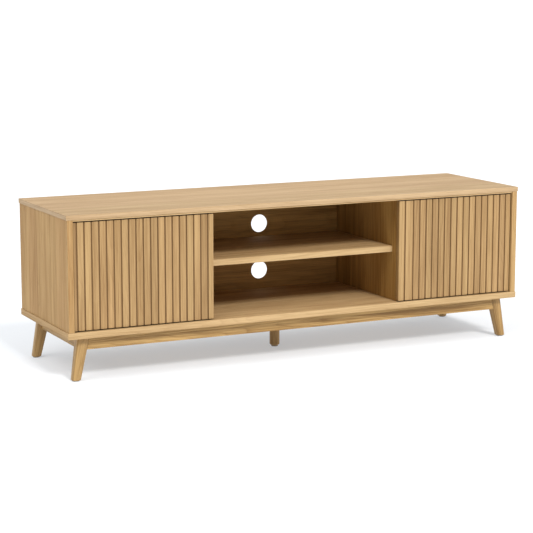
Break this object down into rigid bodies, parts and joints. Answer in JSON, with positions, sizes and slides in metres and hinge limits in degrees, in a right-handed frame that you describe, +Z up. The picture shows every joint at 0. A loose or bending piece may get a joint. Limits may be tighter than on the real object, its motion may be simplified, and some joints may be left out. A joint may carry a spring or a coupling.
{
  "type": "media cabinet",
  "caption": "Low media cabinet with two fluted push-to-open doors, an open bay with a shelf and cable holes, on splayed wooden legs.",
  "frame": {"origin": "on the floor, below the middle of the cabinet", "axes": "+X along the width to the right, the doors face -Y, +Z up"},
  "size_m": [1.6, 0.45, 0.513],
  "materials": {
    "top_veneer": "satin oak veneer, grain along the width",
    "side_veneer": "satin oak veneer, upright grain",
    "fluted_oak": "satin oak slats, upright grain",
    "door_veneer": "satin oak veneer, upright grain",
    "interior_veneer": "satin oak veneer",
    "carcass_veneer": "satin oak veneer, grain along the width",
    "leg_oak": "lacquered solid oak",
    "apron_oak": "lacquered solid oak",
    "plated_steel": "nickel plated",
    "zinc_steel": "zinc plated",
    "grey_plastic": "moulded",
    "white_plastic": "moulded",
    "felt": "pressed felt"
  },
  "bodies": {
    "cabinet": {"top_panel": "top_veneer", "bottom_panel": "carcass_veneer", "left_side_panel": "side_veneer", "right_side_panel": "side_veneer", "left_divider": "interior_veneer", "right_divider": "interior_veneer", "top_front_rail": "carcass_veneer", "left_back_panel": "interior_veneer", "centre_back_panel": "interior_veneer", "right_back_panel": "interior_veneer", "centre_shelf": "carcass_veneer", "left_inner_shelf": "interior_veneer", "right_inner_shelf": "interior_veneer", "left_shelf_pin_front_outer": "plated_steel", "left_shelf_pin_front_inner": "plated_steel", "left_shelf_pin_back_outer": "plated_steel", "left_shelf_pin_back_inner": "plated_steel", "right_shelf_pin_front_outer": "plated_steel", "right_shelf_pin_front_inner": "plated_steel", "right_shelf_pin_back_outer": "plated_steel", "right_shelf_pin_back_inner": "plated_steel", "left_upper_hinge_arm": "plated_steel", "left_lower_hinge_arm": "plated_steel", "right_upper_hinge_arm": "plated_steel", "right_lower_hinge_arm": "plated_steel", "left_latch_body": "grey_plastic", "right_latch_body": "grey_plastic", "front_left_leg": "leg_oak", "front_right_leg": "leg_oak", "back_left_leg": "leg_oak", "back_right_leg": "leg_oak", "front_left_glide": "felt", "front_right_glide": "felt", "back_left_glide": "felt", "back_right_glide": "felt", "centre_leg": "leg_oak", "centre_glide": "felt", "front_apron": "apron_oak", "back_apron": "apron_oak", "left_apron": "apron_oak", "right_apron": "apron_oak", "centre_cross_rail": "apron_oak", "front_left_bracket": "zinc_steel", "front_right_bracket": "zinc_steel", "back_left_bracket": "zinc_steel", "back_right_bracket": "zinc_steel"},
    "left_door": {"left_door_fluted_face": "fluted_oak", "left_door_board": "door_veneer", "left_upper_hinge_cup": "plated_steel", "left_lower_hinge_cup": "plated_steel", "left_strike_plate": "zinc_steel"},
    "right_door": {"right_door_fluted_face": "fluted_oak", "right_door_board": "door_veneer", "right_upper_hinge_cup": "plated_steel", "right_lower_hinge_cup": "plated_steel", "right_strike_plate": "zinc_steel"},
    "left_plunger": {"left_latch_plunger": "white_plastic"},
    "right_plunger": {"right_latch_plunger": "white_plastic"}
  },
  "joints": [
    {"name": "left_door_hinge", "type": "hinge", "parent": "cabinet", "child": "left_door", "pos_m": [-0.7552, -0.2065, 0.3245], "axis": [0, 0, -1], "range_deg": [0, 105]},
    {"name": "right_door_hinge", "type": "hinge", "parent": "cabinet", "child": "right_door", "pos_m": [0.7552, -0.2065, 0.3245], "axis": [0, 0, 1], "range_deg": [0, 105]},
    {"name": "left_latch_press", "type": "slide", "parent": "cabinet", "child": "left_plunger", "axis": [0, 1, 0], "range_m": [0, 0.003], "stiffness_N_per_m": 300, "springref_m": -0.003},
    {"name": "right_latch_press", "type": "slide", "parent": "cabinet", "child": "right_plunger", "axis": [0, 1, 0], "range_m": [0, 0.003], "stiffness_N_per_m": 300, "springref_m": -0.003}
  ]
}
